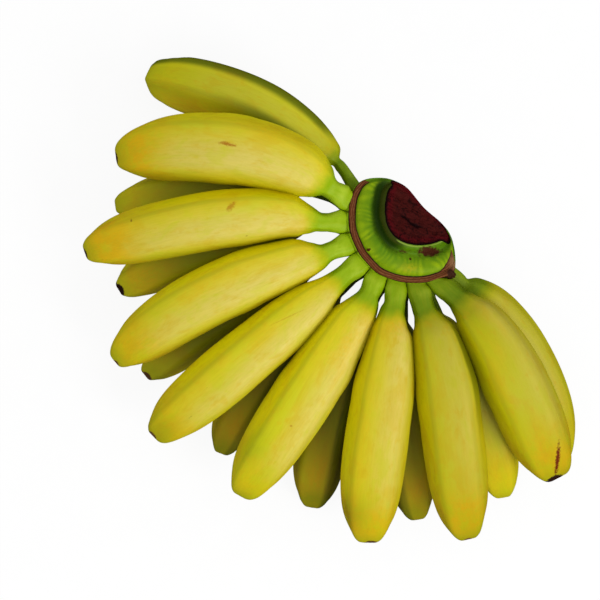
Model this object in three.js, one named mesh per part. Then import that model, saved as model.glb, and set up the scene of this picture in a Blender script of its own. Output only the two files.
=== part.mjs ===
// A hand of baby bananas as cut from its stem: one crown and two rows of fingers, the upper row
// lying over the gaps of the lower row. It rests as it would on a table, convex side up, on the
// fingertips of the lower row. Millimetres, +Z up, with the origin on the table under the middle.

import * as THREE from "three";

// Driving dimensions. Angles are degrees, counter-clockwise from +X as seen from above, and plan
// positions are polar about the crown's own axis until the whole hand is centred at the end.
const TOUCH_GAP = 0.4; // left between two pieces that touch
const FINGER_SIDES = 15; // three to each side of the five-sided finger
const RIDGES = 5;
const CROWN_STEPS = 56; // round each ring of the crown
const WALL_SAMPLES = 720; // round the crown's wall, to find where a stalk joins it
const HANDLE = 0.34; // of the straight length, from each end of a finger's spine to its handle
const RIDGE = 0.035; // how far the ridges stand out, as a share of the finger's radius
const FLATNESS = 0.97; // height of a finger's section over its width
const SPREAD = 5; // from the crown to where a stalk has its full width
const BOW_LENGTH = 26; // how much of a finger, from the crown, its stalk's sideways bow takes up
const SETTLING_PASSES = 4; // enough for a tip to come to rest on the table
// Where a finger's rings go: shares of its stalk, and then shares of the rest of its length.
const STALK_RINGS = [0, 0.35, 0.75, 1];
const BODY_RINGS = [
  0.03, 0.07, 0.12, 0.18, 0.26, 0.35, 0.45, 0.55, 0.65, 0.74, 0.82, 0.88, 0.93, 0.965, 0.985, 1,
];

// What the fingers of a row share. A ridge lies at ridgeFrom, counted round from the finger's top.
const UPPER_ROW = { rootHeight: 56.5, rise: 14, tipHeight: 24, droop: 42, stalk: 9.5, stalkWidth: 9.6,
  bow: 0, belly: 1.06, ridgeFrom: 36 };
const LOWER_ROW = { rootHeight: 45.5, rise: -7, tipHeight: 6, droop: 34, stalk: 10, stalkWidth: 7.8,
  bow: 0, belly: 1, ridgeFrom: 36, onTable: true };

const PEEL = { color: 0xd8bf3c, roughness: 0.48, metalness: 0 };
const CROWN_SKIN = { color: 0x5f7d14, roughness: 0.62, metalness: 0 };

// Each finger: where it leaves the crown, where its tip is (azimuth and reach), the headings of
// its two ends, and its greatest width. What differs from the rest of its row comes last.
const UPPER_FINGERS = [
  { root: 141, tip: 148.7, reach: 137, leaves: 128.5, arrives: 169.5, girth: 28.4, belly: 1,
    rootHeight: 49, rise: -12, tipHeight: 6, droop: 33, stalk: 13.5, stalkWidth: 5.4, bow: -1.3,
    ridgeFrom: -15, onTable: true },
  { root: 158, tip: 166.1, reach: 132.8, leaves: 137, arrives: 191, girth: 31.6, belly: 0.98, rise: 19,
    tipHeight: 26, stalkWidth: 9.3, bow: 1 },
  { root: 180, tip: 184.7, reach: 145, leaves: 169, arrives: 196, girth: 26.8, stalkWidth: 8.6, bow: 1.8 },
  { root: 202, tip: 205.5, reach: 144.8, leaves: 197.5, arrives: 222, girth: 27.4, stalkWidth: 8.6,
    bow: 1 },
  { root: 224.5, tip: 220.7, reach: 149, leaves: 218.5, arrives: 219.5, girth: 26.8, belly: 1.3, rise: 15,
    stalkWidth: 9.6 },
  { root: 246.3, tip: 239.6, reach: 144.2, leaves: 239.5, arrives: 238, girth: 28.5, belly: 1.12, rise: 12,
    stalkWidth: 9.6, bow: 0.8 },
  { root: 265, tip: 264.5, reach: 146.5, leaves: 265, arrives: 271, girth: 29.2, belly: 1.24, rise: 15,
    bow: 0.2 },
  { root: 283.7, tip: 282.6, reach: 148, leaves: 294.8, arrives: 284.5, girth: 28.6, stalkWidth: 10.4,
    bow: -1.2 },
  { root: 301, tip: 302.4, reach: 136.5, leaves: 328, arrives: 301, girth: 30.2, belly: 1.25, rise: 16,
    tipHeight: 27.5, stalkWidth: 10.4, bow: -0.6 },
];
const LOWER_FINGERS = [
  { root: 157, tip: 175.7, reach: 133, leaves: 152, arrives: 190, girth: 23.6, stalk: 13 },
  { root: 180.5, tip: 192.5, reach: 134.5, leaves: 174, arrives: 207, girth: 24.6 },
  { root: 202, tip: 210.6, reach: 137.8, leaves: 202, arrives: 222, girth: 24.8 },
  { root: 228, tip: 232, reach: 135.5, leaves: 223, arrives: 246, girth: 24.4 },
  { root: 251, tip: 253.3, reach: 138.2, leaves: 243, arrives: 264, girth: 26.4, belly: 1.12 },
  { root: 270, tip: 274.1, reach: 138.6, leaves: 268, arrives: 279, girth: 25.4 },
  { root: 289, tip: 291.8, reach: 137.5, leaves: 293, arrives: 283, girth: 25.2 },
  { root: 315, tip: 305.1, reach: 136, leaves: 326.5, arrives: 281.5, girth: 25.6, belly: 0.9, rise: -16,
    stalk: 8, stalkWidth: 7, bow: -1 },
];

// Width of a finger's body over its greatest width, from the end of its stalk to its blunt tip.
const BODY = [
  [0, 0.36], [0.035, 0.49], [0.08, 0.66], [0.14, 0.785], [0.22, 0.885], [0.33, 0.965], [0.45, 1],
  [0.58, 1], [0.7, 0.97], [0.8, 0.905], [0.88, 0.8], [0.94, 0.65], [0.975, 0.51], [1, 0.36],
];

// The crown's top edge, where the stalks join: azimuth, radius and height of its outline.
const CROWN_EDGE = [
  [180, 25, 61], [205, 24.6, 61.5], [232, 25.4, 61.5], [258, 26.6, 61.5], [282, 28.6, 61],
  [300, 30.6, 60], [316, 32.4, 57], [331, 28.1, 53], [350, 22.4, 48.8], [35, 13, 47.8],
  [85, 17.5, 48.5], [112, 22.4, 51], [135, 26.6, 55], [157, 25.8, 59.5],
];
// The outline of the cut that parted the crown from the stem, x and y, one point for each above.
const CUT_EDGE = [
  [-7.7, 3], [-6.6, -2], [-3.6, -6.6], [1.5, -9.6], [7.5, -10.5], [13.5, -9.8], [18.8, -7.8],
  [21.6, -4.9], [18.4, -1], [10.3, 6.9], [1.8, 15], [-3.2, 17.6], [-6, 14.8], [-7.4, 9.2],
];
const CUT = { faces: 47, height: 66, from: -7, slope: 0.92, hollow: 1.6 };
const DISH = { share: 0.5, depth: 0.4 }; // one ring inside the cut, and how far it is sunk
// From the cut's edge to the crown's edge: how far across, and how far above the straight line.
const CUSHION = [[0.06, 0.3], [0.2, -1.9], [0.42, 1.1], [0.68, 1.5], [0.86, -0.2], [0.94, 0.7]];
// Below its edge the crown's wall goes straight down where the stalks join it, and leans in under
// the cut. Its rounded underside is a few rings: share of the wall's outline, and height.
const CROWN_WALL = { foot: 41.3, leans: 5 };
const UNDERSIDE = [[0.95, 39.2], [0.82, 37.2], [0.55, 35.6]];
const UNDERSIDE_HEIGHT = 35;

const radians = THREE.MathUtils.degToRad;
const heading = (azimuth) =>
  new THREE.Vector3(Math.cos(radians(azimuth)), Math.sin(radians(azimuth)), 0);
const UP = new THREE.Vector3(0, 0, 1);

// One closed mesh over a stack of rings of equal count, with a point closing each end.
function loft(start, rings, end) {
  const count = rings[0].length;
  const points = [start, ...rings.flat(), end];
  const index = [];
  const at = (ring, i) => 1 + ring * count + (i % count);
  for (let i = 0; i < count; i++) {
    index.push(0, at(0, i + 1), at(0, i));
    index.push(points.length - 1, at(rings.length - 1, i), at(rings.length - 1, i + 1));
    for (let ring = 0; ring + 1 < rings.length; ring++) {
      index.push(at(ring, i), at(ring, i + 1), at(ring + 1, i));
      index.push(at(ring, i + 1), at(ring + 1, i + 1), at(ring + 1, i));
    }
  }
  const geometry = new THREE.BufferGeometry().setFromPoints(points);
  geometry.setIndex(index);
  geometry.computeVertexNormals();
  return geometry;
}

// A smooth curve's height at x, through the [x, value] pairs of a table.
function through(table, x) {
  const last = table.length - 1;
  let i = 0;
  while (i < last - 1 && x > table[i + 1][0]) i++;
  const slope = (k) => {
    const a = table[Math.max(k - 1, 0)];
    const b = table[Math.min(k + 1, last)];
    return (b[1] - a[1]) / (b[0] - a[0]);
  };
  const [x0, y0] = table[i];
  const [x1, y1] = table[i + 1];
  const step = x1 - x0;
  const t = (x - x0) / step;
  const rising = t * t * (3 - 2 * t);
  return (
    y0 * (1 - rising) +
    y1 * rising +
    step * t * (1 - t) * (slope(i) * (1 - t) - slope(i + 1) * t)
  );
}

// The crown's two outlines, as closed curves round its axis.
const crownEdge = new THREE.CatmullRomCurve3(
  CROWN_EDGE.map(([azimuth, radius, height]) => heading(azimuth).multiplyScalar(radius).setZ(height)),
  true,
);
const cutHeight = (x, y) => {
  const outward = heading(CUT.faces).dot(new THREE.Vector3(x, y, 0));
  return CUT.height - CUT.slope * (outward - CUT.from);
};
const cutEdge = new THREE.CatmullRomCurve3(
  CUT_EDGE.map(([x, y]) => new THREE.Vector3(x, y, cutHeight(x, y))),
  true,
);

// Where a stalk meets the crown's wall at an azimuth: the place in plan, and the way it faces.
function wallAt(azimuth) {
  const out = heading(azimuth);
  const turns = Array.from({ length: WALL_SAMPLES }, (_, i) => i / WALL_SAMPLES);
  const misses = turns.map((turn) => 1 - crownEdge.getPoint(turn).setZ(0).normalize().dot(out));
  const turn = turns[misses.indexOf(Math.min(...misses))];
  const facing = new THREE.Vector3().crossVectors(crownEdge.getTangent(turn).setZ(0), UP).normalize();
  return { place: crownEdge.getPoint(turn).setZ(0), facing };
}

const middleOf = (points) =>
  points.reduce((sum, point) => sum.add(point), new THREE.Vector3()).divideScalar(points.length);

function crownGeometry() {
  const turns = Array.from({ length: CROWN_STEPS }, (_, i) => i / CROWN_STEPS);
  const edge = turns.map((turn) => crownEdge.getPoint(turn));
  const cut = turns.map((turn) => cutEdge.getPoint(turn));
  const middle = middleOf(cut);
  middle.z = cutHeight(middle.x, middle.y) - CUT.hollow;
  const fullWidth = Math.max(...edge.map((point, i) => point.distanceTo(cut[i])));

  const rings = [];
  const dish = cut.map((point) => point.clone().lerp(middle, DISH.share));
  dish.forEach((point) => (point.z -= DISH.depth));
  rings.push(dish, cut);
  for (const [across, above] of CUSHION) {
    rings.push(
      cut.map((point, i) => {
        const share = point.distanceTo(edge[i]) / fullWidth;
        const on = point.clone().lerp(edge[i], across);
        on.z += above * share;
        return on;
      }),
    );
  }
  const back = heading(CUT.faces);
  const foot = edge.map((point) => {
    const behind = Math.max(0, point.clone().setZ(0).normalize().dot(back));
    return point.clone().addScaledVector(back, -CROWN_WALL.leans * behind).setZ(CROWN_WALL.foot);
  });
  const bottom = middleOf(foot).setZ(UNDERSIDE_HEIGHT);
  rings.push(edge, foot);
  for (const [share, height] of UNDERSIDE) {
    rings.push(foot.map((point) => bottom.clone().lerp(point, share).setZ(height)));
  }
  return loft(bottom, rings.reverse(), middle);
}

// A finger's spine: one curve that leaves the crown, arches over and droops to its tip.
function spineOf(finger) {
  const { place, facing } = wallAt(finger.root);
  const start = place.addScaledVector(facing, TOUCH_GAP).setZ(finger.rootHeight);
  const end = heading(finger.tip).multiplyScalar(finger.reach).setZ(finger.tipHeight);
  const handle = HANDLE * Math.hypot(end.x - start.x, end.y - start.y);
  const leaving = heading(finger.leaves).setZ(Math.tan(radians(finger.rise)));
  const arriving = heading(finger.arrives).setZ(-Math.tan(radians(finger.droop)));
  return new THREE.CubicBezierCurve3(
    start,
    start.clone().addScaledVector(leaving, handle),
    end.clone().addScaledVector(arriving, -handle),
    end,
  );
}

// How far from the crown a finger's rings are.
function ringDistances({ stalk }, length) {
  const body = length - stalk;
  return [
    ...STALK_RINGS.map((share) => share * stalk),
    ...BODY_RINGS.map((share) => stalk + share * body),
  ];
}

// A stalk is as wide as its neighbours let it be at the crown, and keeps one width further out.
function widthAt(finger, length, distance) {
  if (distance <= finger.stalk) {
    const opened = Math.min(distance / SPREAD, 1);
    return finger.rootWidth + (finger.stalkWidth - finger.rootWidth) * opened;
  }
  const along = (distance - finger.stalk) / (length - finger.stalk);
  const share = through(BODY, along ** finger.belly);
  return Math.max(finger.stalkWidth, share * finger.girth);
}

function fingerGeometry(finger) {
  const spine = spineOf(finger);
  const length = spine.getLength();
  const { facing } = wallAt(finger.root);
  const aside = new THREE.Vector3().crossVectors(UP, facing);
  const rings = ringDistances(finger, length).map((distance) => {
    const bowed = Math.sin(Math.PI * Math.min(distance / BOW_LENGTH, 1)) ** 2;
    const centre = spine.getPointAt(distance / length).addScaledVector(aside, finger.bow * bowed);
    const along = spine.getTangentAt(distance / length);
    // the stalk turns from square on to the crown's wall to square on to its own spine
    const free = Math.min(distance / finger.stalk, 1);
    along.multiplyScalar(free).addScaledVector(facing, 1 - free).normalize();
    const across = new THREE.Vector3().crossVectors(along, UP).normalize();
    const above = new THREE.Vector3().crossVectors(across, along);
    const radius = widthAt(finger, length, distance) / 2;
    return Array.from({ length: FINGER_SIDES }, (_, i) => {
      const fromRidge = (2 * Math.PI * i) / FINGER_SIDES;
      const stands = radius * (1 + RIDGE * (Math.cos(RIDGES * fromRidge) - 1) * free);
      const turn = fromRidge + radians(finger.ridgeFrom);
      return centre
        .clone()
        .addScaledVector(above, stands * FLATNESS * Math.cos(turn))
        .addScaledVector(across, stands * Math.sin(turn));
    });
  });
  return loft(spine.getPoint(0), rings, spine.getPoint(1));
}

// Lowers or lifts a finger's tip until the finger just touches the table.
function settled(finger) {
  const resting = { ...finger };
  for (let pass = 0; pass < SETTLING_PASSES; pass++) {
    const geometry = fingerGeometry(resting);
    geometry.computeBoundingBox();
    resting.tipHeight -= geometry.boundingBox.min.z;
  }
  return resting;
}

// The room that each finger of a row has at the crown, out to the nearer of its neighbours.
function rootWidths(fingers) {
  const places = fingers.map((finger) => wallAt(finger.root).place);
  return fingers.map(({ stalkWidth }, i) => {
    const beside = places.filter((_, k) => Math.abs(k - i) === 1);
    const room = Math.min(...beside.map((place) => place.distanceTo(places[i])));
    return Math.min(room - TOUCH_GAP, stalkWidth);
  });
}

function row(name, shared, own, material) {
  const group = new THREE.Group();
  const fingers = own.map((finger) => ({ ...shared, ...finger }));
  rootWidths(fingers).forEach((rootWidth, i) => {
    const finger = { ...fingers[i], rootWidth };
    const mesh = new THREE.Mesh(fingerGeometry(finger.onTable ? settled(finger) : finger), material);
    mesh.name = `${name}_finger_${String(i + 1).padStart(2, "0")}`;
    group.add(mesh);
  });
  return group;
}

const hand = new THREE.Group();
const crown = new THREE.Mesh(crownGeometry(), new THREE.MeshStandardMaterial(CROWN_SKIN));
crown.name = "crown";
const peel = new THREE.MeshStandardMaterial(PEEL);
hand.add(crown, row("upper", UPPER_ROW, UPPER_FINGERS, peel), row("lower", LOWER_ROW, LOWER_FINGERS, peel));

// Centre the hand over the origin.
const box = new THREE.Box3().setFromObject(hand, true);
hand.position.set(-(box.min.x + box.max.x) / 2, -(box.min.y + box.max.y) / 2, -box.min.z);

export default hand;
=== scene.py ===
"""Looks for a hand of baby bananas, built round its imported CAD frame.

Each finger is skinned again over the rings of its CAD node, finely enough for its ridges, its dents
and the dried scar at its tip. The crown is skinned the same way. One peel and one crown material
read what the meshes carry: how far along a finger a point lies, how near a ridge, and so on.
"""

import math

import bmesh
import bpy
import numpy as np
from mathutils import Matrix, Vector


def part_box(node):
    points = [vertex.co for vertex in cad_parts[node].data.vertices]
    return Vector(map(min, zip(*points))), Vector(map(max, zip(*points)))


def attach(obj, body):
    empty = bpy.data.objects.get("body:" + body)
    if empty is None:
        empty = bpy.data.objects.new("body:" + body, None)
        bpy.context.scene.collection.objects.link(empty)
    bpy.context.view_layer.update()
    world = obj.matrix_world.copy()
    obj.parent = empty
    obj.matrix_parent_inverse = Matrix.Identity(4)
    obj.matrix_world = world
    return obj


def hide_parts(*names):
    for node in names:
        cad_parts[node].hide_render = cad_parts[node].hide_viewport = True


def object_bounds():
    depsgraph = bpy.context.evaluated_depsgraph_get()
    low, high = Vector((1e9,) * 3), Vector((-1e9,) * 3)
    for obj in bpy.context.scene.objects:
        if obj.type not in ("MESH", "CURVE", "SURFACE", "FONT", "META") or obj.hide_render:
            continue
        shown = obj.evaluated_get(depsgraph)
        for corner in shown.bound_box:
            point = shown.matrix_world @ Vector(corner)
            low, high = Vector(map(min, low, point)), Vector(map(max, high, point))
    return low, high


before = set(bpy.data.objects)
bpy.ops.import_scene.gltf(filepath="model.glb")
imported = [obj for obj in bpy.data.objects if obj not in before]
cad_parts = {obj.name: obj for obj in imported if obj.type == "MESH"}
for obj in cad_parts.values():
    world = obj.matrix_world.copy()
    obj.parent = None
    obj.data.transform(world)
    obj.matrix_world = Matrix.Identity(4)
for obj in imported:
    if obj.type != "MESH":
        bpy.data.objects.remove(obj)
cad_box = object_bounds()

MM = 0.001
UP = np.array((0.0, 0.0, 1.0))
UPPER = [name for name in sorted(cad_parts) if name.startswith("upper_finger")]
LOWER = [name for name in sorted(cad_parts) if name.startswith("lower_finger")]

# ---------------------------------------------------------------- camera, light and floor

CAMERA = (-0.01467, -0.00038, 1.0)  # straight above the table, looking down
LENS = 124.6  # on the default 36 mm sensor
KEY = dict(towards=(0.54, -0.45, 0.71), distance=1.15, size=0.5, watts=5.9)
SKY = 0.82  # soft light from the whole studio above the table
GROUND = 0.32  # and from below it
HORIZON = 0.2  # how far above and below the level the one fades into the other


def area_light(name, towards, distance, size, watts):
    data = bpy.data.lights.new(name, "AREA")
    data.shape = "DISK"
    data.size = size
    data.energy = watts
    light = bpy.data.objects.new(name, data)
    away = np.array(towards) / np.linalg.norm(towards)
    light.location = away * distance
    light.rotation_mode = "QUATERNION"
    light.rotation_quaternion = light.location.to_track_quat("Z", "Y")
    bpy.context.scene.collection.objects.link(light)


def studio():
    camera = bpy.data.objects.new("camera", bpy.data.cameras.new("camera"))
    camera.data.lens = LENS
    camera.data.clip_start = 0.05
    camera.location = CAMERA
    bpy.context.scene.collection.objects.link(camera)
    bpy.context.scene.camera = camera
    area_light("key", **KEY)
    world = bpy.data.worlds.new("studio")
    world.use_nodes = True
    tree = world.node_tree
    way = tree.nodes.new("ShaderNodeTexCoord")
    level = tree.nodes.new("ShaderNodeSeparateXYZ")
    fade = tree.nodes.new("ShaderNodeMapRange")
    fade.interpolation_type = "SMOOTHSTEP"
    for socket, value in zip(list(fade.inputs)[1:5], (-HORIZON, HORIZON, GROUND, SKY)):
        socket.default_value = value
    background = tree.nodes["Background"]
    background.inputs["Color"].default_value = (1.0, 1.0, 1.0, 1.0)
    tree.links.new(way.outputs["Generated"], level.inputs[0])
    tree.links.new(level.outputs["Z"], fade.inputs[0])
    tree.links.new(fade.outputs[0], background.inputs["Strength"])
    bpy.context.scene.world = world
    world.cycles_visibility.glossy = False  # the only sheen on the fruit is the key's
    bpy.context.scene.view_settings.view_transform = "Standard"


# ---------------------------------------------------------------- materials


def srgb(text):
    """A hex colour as linear RGBA."""
    parts = [int(text[i : i + 2], 16) / 255 for i in (0, 2, 4)]
    linear = [c / 12.92 if c <= 0.04045 else ((c + 0.055) / 1.055) ** 2.4 for c in parts]
    return (*linear, 1.0)


class Nodes:
    """A material and short ways to add nodes to it. A value may be a socket or a number."""

    def __init__(self, name):
        self.material = bpy.data.materials.new(name)
        self.material.use_nodes = True
        self.tree = self.material.node_tree
        self.tree.nodes.clear()

    def add(self, kind, inputs, **settings):
        node = self.tree.nodes.new("ShaderNode" + kind)
        for key, value in settings.items():
            setattr(node, key, value)
        for key, value in inputs.items():
            if isinstance(value, bpy.types.NodeSocket):
                self.tree.links.new(value, node.inputs[key])
            else:
                node.inputs[key].default_value = value
        return node

    def attribute(self, name, output="Fac"):
        return self.add("Attribute", {}, attribute_name=name).outputs[output]

    def math(self, operation, a, b=0.0, clamp=False):
        return self.add("Math", {0: a, 1: b}, operation=operation, use_clamp=clamp).outputs[0]

    def product(self, *values):
        made = values[0]
        for value in values[1:]:
            made = self.math("MULTIPLY", made, value)
        return made

    def step(self, value, start, end, low=0.0, high=1.0):
        """From low to high, smoothly, as value goes from start to end."""
        inputs = {"Value": value, 1: start, 2: end, 3: low, 4: high}
        return self.add("MapRange", inputs, interpolation_type="SMOOTHSTEP").outputs[0]

    def bell(self, value, start, top, end):
        """0 at start and end, 1 at top."""
        return self.product(self.step(value, start, top), self.step(value, end, top))

    def mix(self, share, a, b, blend="MIX"):
        inputs = {0: share, 6: a, 7: b}
        return self.add("Mix", inputs, data_type="RGBA", blend_type=blend).outputs[2]

    def stretched(self, vector, scales):
        return self.add("VectorMath", {0: vector, 1: scales}, operation="MULTIPLY").outputs[0]

    def noise(self, vector, scale, detail=2.0, roughness=0.5, distortion=0.0):
        inputs = {"Vector": vector, "Scale": scale, "Detail": detail, "Roughness": roughness,
                  "Distortion": distortion}
        return self.add("TexNoise", inputs).outputs[0]

    def surface(self, colour, roughness, height, strength, distance, **numbers):
        bump = self.add("Bump", {"Strength": strength, "Distance": distance, "Height": height})
        inputs = {"Base Color": colour, "Roughness": roughness, "Normal": bump.outputs[0]}
        inputs.update({key.replace("_", " "): value for key, value in numbers.items()})
        shader = self.add("BsdfPrincipled", inputs)
        self.add("OutputMaterial", {"Surface": shader.outputs[0]})
        return self.material


# flank is painted light on a finger's sides, pale its painted sheen and dusk its painted shade; edge
# darkens the body, partly as painted shade, and stalk_light is partly painted highlight
PEEL = dict(
    yellow=srgb("cdbe0a"), lime=srgb("c0c208"), orange=srgb("e0b002"), pale=srgb("d8c664"),
    painted_side_light=srgb("f0e804"), olive=srgb("aaaa04"), edge=srgb("9e9004"), ochre=srgb("ccaa08"),
    stalk=srgb("8cac06"), stalk_light=srgb("a8c22c"), stalk_dark=srgb("5c7c02"),
    brown=srgb("a45c04"), dark_brown=srgb("6a2604"), leaf=srgb("7c9404"), painted_shade=srgb("8c9c3c"),
    scar=srgb("2c140a"), scar_light=srgb("80582a"), fleck=srgb("6e4a0c"),
)


def peel_material():
    """Reads: skin, the place on the finger made straight, in mm, with its length along z; stem and
    tip, mm from either end; ridge, how near one; bloom, a painted sheen where it is paler; flank,
    painted light on its two sides; dusk, painted shade on its darker facets and patches; tone, how
    green and orange the finger is and how strong its painted sheen; ground, how dark its body is,
    from its own tone and on the lower row from painted shade, how dark its stalk and how black its
    scar; scar, its dried end; blush and green, painted on; and mark_a and mark_b, how far along and
    across from a bruise, in its half sizes, with its strength."""
    n = Nodes("peel")
    skin = n.attribute("skin", "Vector")
    stem, tip = n.attribute("stem"), n.attribute("tip")
    ridge, scar = n.attribute("ridge"), n.attribute("scar")
    green, orange, pale = n.add("SeparateXYZ", {0: n.attribute("tone", "Vector")}).outputs
    dark, dark_stalk, black = n.add("SeparateXYZ", {0: n.attribute("ground", "Vector")}).outputs
    broad = n.noise(n.stretched(skin, (1.0, 1.0, 0.45)), 0.075, 3.0, 0.55)
    patchy = n.noise(n.stretched(skin, (1.0, 1.0, 0.6)), 0.16, 4.0, 0.6)
    fibres = n.noise(n.stretched(skin, (1.0, 1.0, 0.07)), 1.5, 3.0, 0.6)
    fine = n.noise(skin, 0.9, 4.0, 0.65)

    # the ripe body: yellow, greener in patches and along its ridges, more orange in others
    lime = n.step(n.math("ADD", broad, n.math("MULTIPLY", green, 0.35)), 0.44, 0.66)
    body = n.mix(n.math("MULTIPLY", lime, 0.75), PEEL["yellow"], PEEL["lime"])
    # painted light: a finger's two sides made lighter and yellower
    body = n.mix(n.attribute("painted_side_light"), body, PEEL["painted_side_light"])
    body = n.mix(n.product(n.step(ridge, 0.35, 1.0), 0.42), body, PEEL["olive"])
    # painted sheen: paler where the key light's highlight would lie
    painted_sheen = n.product(n.attribute("painted_sheen"), pale, n.step(patchy, 0.2, 0.6, 0.75, 1.1))
    body = n.mix(painted_sheen, body, PEEL["pale"])
    ripe = n.product(n.bell(tip, 3.0, 17.0, 44.0), orange, n.step(patchy, 0.32, 0.62))
    ripe = n.math("ADD", ripe, n.product(n.attribute("blush"), n.step(fine, 0.1, 0.75)), clamp=True)
    body = n.mix(n.math("MULTIPLY", ripe, 0.85), body, PEEL["orange"])
    body = n.mix(n.attribute("green"), body, PEEL["leaf"])

    mottle = n.noise(n.stretched(skin, (1.0, 1.0, 0.45)), 0.33, 6.0, 0.68)
    body = n.mix(n.step(mottle, 0.52, 0.7, 0.0, 0.42), body, PEEL["ochre"])
    body = n.mix(n.step(mottle, 0.47, 0.3, 0.0, 0.32), body, PEEL["lime"])
    warm = n.noise(n.stretched(skin, (1.0, 1.0, 0.6)), 0.11, 4.0, 0.6, 0.5)
    body = n.mix(n.step(warm, 0.5, 0.66, 0.0, 0.35), body, PEEL["ochre"])
    body = n.mix(n.step(warm, 0.47, 0.33, 0.0, 0.35), body, PEEL["lime"])

    # green stalk and green tip
    ragged = n.math("MULTIPLY", n.math("SUBTRACT", patchy, 0.5), 7.0)
    unripe = n.step(n.math("ADD", stem, ragged), 20.5, 12.0)
    # paler green in patches near the crown: partly the stalk's uneven green, partly painted highlight
    light = n.step(n.math("ADD", patchy, n.math("MULTIPLY", fibres, 0.3)), 0.5, 0.85, 0.0, 0.9)
    stalk = n.mix(n.product(light, n.bell(stem, 0.5, 5.0, 16.0)), PEEL["stalk"], PEEL["stalk_light"])
    stalk = n.mix(n.product(dark_stalk, n.step(stem, 2.0, 10.0, 0.45, 1.0)), stalk,
                  PEEL["stalk_dark"])
    body = n.mix(unripe, body, stalk)
    body = n.mix(n.step(n.math("ADD", tip, ragged), 15.0, 0.0, 0.0, 0.6), body, PEEL["olive"])
    # a darker body: the finger's own darker tone and, on the lower row, painted shade
    body = n.mix(dark, body, n.mix(1.0, body, PEEL["edge"], "MULTIPLY"))
    # painted shade on shaded facets and in dark patches
    body = n.mix(n.attribute("painted_shade"), body, n.mix(1.0, body, PEEL["painted_shade"], "MULTIPLY"))

    # fibres, flecks and bruises
    body = n.mix(n.step(fibres, 0.35, 0.75, 0.0, 0.14), body, PEEL["edge"])
    flecks = n.noise(n.stretched(skin, (1.0, 1.0, 0.5)), 0.55, 2.0, 0.5)
    body = n.mix(n.step(flecks, 0.77, 0.83, 0.0, 0.5), body, PEEL["fleck"])
    for name, brown in (("mark_a", "brown"), ("mark_b", "dark_brown")):
        mark = n.add("SeparateXYZ", {0: n.attribute(name, "Vector")})
        away = n.math("SQRT", n.math("ADD", n.math("POWER", mark.outputs[0], 2.0),
                                     n.math("POWER", mark.outputs[1], 2.0)))
        ragged_edge = n.math("MULTIPLY", n.math("SUBTRACT", n.noise(skin, 1.1, 4.0, 0.7), 0.5), 2.2)
        inside = n.step(n.math("ADD", away, ragged_edge), 1.15, 0.35)
        body = n.mix(n.product(inside, mark.outputs[2]), body, PEEL[brown])

    # the dried scar at the tip
    rough = n.noise(skin, 1.3, 5.0, 0.7)
    dry = n.mix(n.math("ADD", black, n.math("SUBTRACT", rough, 0.5), clamp=True),
                PEEL["scar_light"], PEEL["scar"])
    worn = n.step(n.math("ADD", scar, n.math("MULTIPLY", n.math("SUBTRACT", rough, 0.5), 0.7)),
                  0.4, 0.62)
    colour = n.mix(worn, body, dry)

    roughness = n.step(patchy, 0.25, 0.75, 0.44, 0.52)
    roughness = n.math("ADD", roughness, n.math("MULTIPLY", worn, 0.35), clamp=True)
    height = n.math("ADD", n.math("MULTIPLY", fibres, 0.5), n.math("MULTIPLY", fine, 0.5))
    height = n.math("ADD", height, n.product(worn, rough, 1.5))
    return n.surface(colour, roughness, height, 0.16, 0.0006, Specular_IOR_Level=0.13)


# dark and dull colour the painted shade beside the cut, and dark also flecks the cushion; scar_dark
# also colours the painted shade where stalks meet, and cut_dark that in the cut face's grooves
CROWN = dict(
    light=srgb("88a400"), green=srgb("4e7800"), dark=srgb("1e3600"), dull_shade=srgb("343e02"),
    rim=srgb("8ca43c"), yellow=srgb("9c9c04"), stalk=srgb("86a60a"),
    scar=srgb("5c2e12"), scar_dark=srgb("2c0802"), scar_light=srgb("7c4c2a"), pale=srgb("a07c56"),
    cut=srgb("520006"), cut_brown=srgb("440a06"), cut_dark=srgb("0c0002"), fibre=srgb("54280c"),
    knob=srgb("4c2e1c"),
)


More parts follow.
